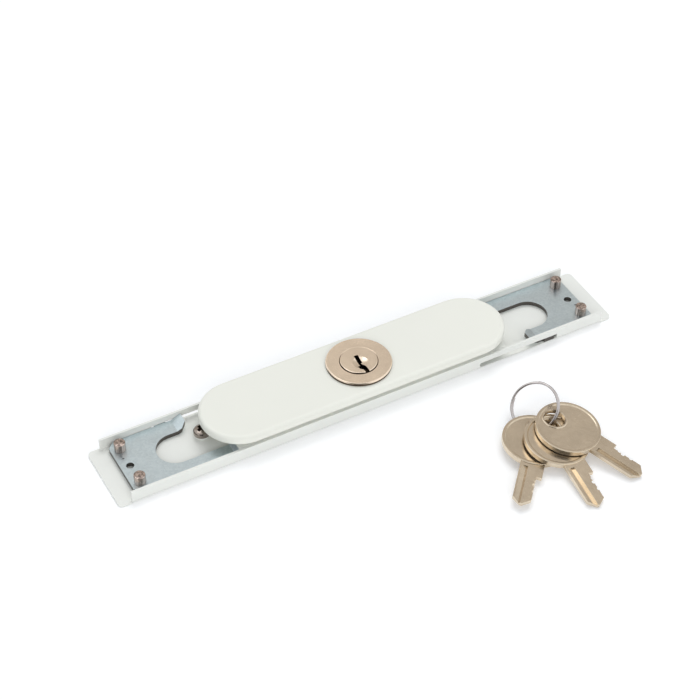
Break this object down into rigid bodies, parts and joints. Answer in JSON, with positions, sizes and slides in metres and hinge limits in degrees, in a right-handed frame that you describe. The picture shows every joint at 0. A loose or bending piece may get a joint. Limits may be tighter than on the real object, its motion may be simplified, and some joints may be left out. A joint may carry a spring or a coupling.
{
  "type": "roller shutter lock",
  "caption": "Two-way sliding lock for a roller shutter slat: a turned plug drives rack plates outwards through a folded channel, with keys on a split ring.",
  "frame": {"origin": "where the cylinder's axis meets the back face of the channel floor", "axes": "+X along the channel, +Y across it towards the left plate's lug, +Z out of the back through the cover"},
  "size_m": [0.231, 0.1227, 0.0153],
  "materials": {
    "white_paint": "satin white powder coat",
    "cover_white": "smooth warm white moulding",
    "zinc_plate": "galvanised sheet, pale blue-grey",
    "pin_nickel": "bright nickel",
    "lock_nickel": "satin warm nickel",
    "key_nickel": "satin nickel with bright edges",
    "ring_chrome": "polished wire",
    "screw_steel": "zinc-plated steel",
    "pinion_steel": "sintered steel",
    "wafer_brass": "plain brass",
    "spring_steel": "spring steel"
  },
  "bodies": {
    "housing": {"channel": "white_paint", "fixing_screw": "screw_steel", "guide_plate": "zinc_plate", "bridge_lid": "white_paint", "bridge_rivets": "screw_steel", "cover": "cover_white", "cover_screws": "screw_steel", "cylinder_housing": "lock_nickel", "cylinder_clip": "spring_steel"},
    "plug": {"cylinder_plug": "lock_nickel", "plug_clip": "spring_steel", "drive_pinion": "pinion_steel", "wafers": "wafer_brass", "wafer_springs": "spring_steel"},
    "left_bolt": {"left_bolt_plate": "zinc_plate", "left_pin_front": "pin_nickel", "left_pin_rear": "pin_nickel"},
    "right_bolt": {"right_bolt_plate": "zinc_plate", "right_pin_front": "pin_nickel", "right_pin_rear": "pin_nickel"},
    "key_ring": {"split_ring": "ring_chrome"},
    "key_1": {"key_1": "key_nickel"},
    "key_2": {"key_2": "key_nickel"},
    "key_3": {"key_3": "key_nickel"}
  },
  "joints": [
    {"name": "plug_turn", "type": "hinge", "parent": "housing", "child": "plug", "pos_m": [0, 0, 0.008], "axis": [0, 0, 1], "range_deg": [0, 90]},
    {"name": "left_bolt_slide", "type": "slide", "parent": "housing", "child": "left_bolt", "axis": [1, 0, 0], "range_m": [0, 0.01571]},
    {"name": "right_bolt_slide", "type": "slide", "parent": "housing", "child": "right_bolt", "axis": [-1, 0, 0], "range_m": [0, 0.01571]},
    {"name": "ring_lift", "type": "slide", "parent": "housing", "child": "key_ring", "axis": [0, 0, 1], "range_m": [0, 0.05]},
    {"name": "key_1_swing", "type": "hinge", "parent": "key_ring", "child": "key_1", "pos_m": [0.04938, -0.06056, 0.00308], "axis": [0.096, -0.0806, 0.9921], "range_deg": [-20, 0]},
    {"name": "key_2_swing", "type": "hinge", "parent": "key_ring", "child": "key_2", "pos_m": [0.05253, -0.06421, 0.00532], "axis": [0.1177, -0.1109, 0.9868], "range_deg": [-5, 0]},
    {"name": "key_3_swing", "type": "hinge", "parent": "key_ring", "child": "key_3", "pos_m": [0.05566, -0.06278, 0.00768], "axis": [0.1147, -0.1152, 0.9867], "range_deg": [0, 25]}
  ],
  "couplings": [
    {"joint": "left_bolt_slide", "follows": "plug_turn", "m_per_rad": 0.01},
    {"joint": "right_bolt_slide", "follows": "plug_turn", "m_per_rad": 0.01}
  ]
}
